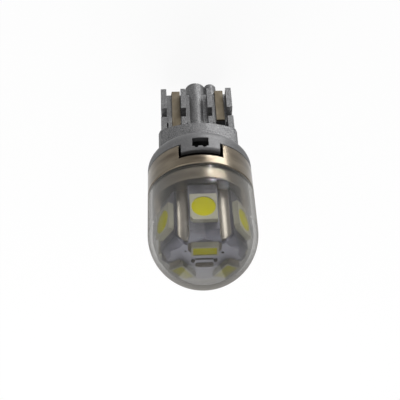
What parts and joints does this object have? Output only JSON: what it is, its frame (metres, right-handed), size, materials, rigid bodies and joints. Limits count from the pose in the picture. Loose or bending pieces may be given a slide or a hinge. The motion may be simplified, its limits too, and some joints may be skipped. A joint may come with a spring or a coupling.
{
  "type": "wedge base led bulb",
  "caption": "Small signal bulb: flat plug-in wedge base with bent contact strips, metal ring, and LEDs on a folded board under a clear domed lens.",
  "frame": {"origin": "centre of the free end of the blade", "axes": "+Z from the free end of the blade towards the tip of the lens, X across the flat of the wedge, -Y the front"},
  "size_m": [0.013, 0.013, 0.0321],
  "materials": {
    "base_plastic": "satin, fine sparkling grain",
    "contact_metal": "dull",
    "ring_metal": "polished, warm tint",
    "lens_plastic": "clear, slight haze",
    "led_board": "satin",
    "led_body": "satin",
    "phosphor": "soft gel",
    "solder": "bright",
    "driver_laminate": "solder mask",
    "package_black": "moulded",
    "capacitor_tan": "ceramic",
    "wire_enamel": "enamelled copper"
  },
  "bodies": {
    "root": {"base_housing": "base_plastic", "contact_left": "contact_metal", "contact_right": "contact_metal", "heat_sink_core": "ring_metal", "clear_lens": "lens_plastic", "led_board": "led_board", "side_led_1": "led_body", "side_led_2": "led_body", "side_led_3": "led_body", "side_led_4": "led_body", "side_led_5": "led_body", "side_led_6": "led_body", "side_phosphor_1": "phosphor", "side_phosphor_2": "phosphor", "side_phosphor_3": "phosphor", "side_phosphor_4": "phosphor", "side_phosphor_5": "phosphor", "side_phosphor_6": "phosphor", "end_led_1": "led_body", "end_led_2": "led_body", "end_led_3": "led_body", "end_phosphor_1": "phosphor", "end_phosphor_2": "phosphor", "end_phosphor_3": "phosphor", "end_led_solder": "solder", "driver_board": "driver_laminate", "bridge_rectifier": "package_black", "driver_ic": "package_black", "input_capacitor": "capacitor_tan", "ballast_resistor_1": "package_black", "ballast_resistor_2": "package_black", "feed_wire_plus": "wire_enamel", "feed_wire_minus": "wire_enamel"}
  },
  "joints": []
}
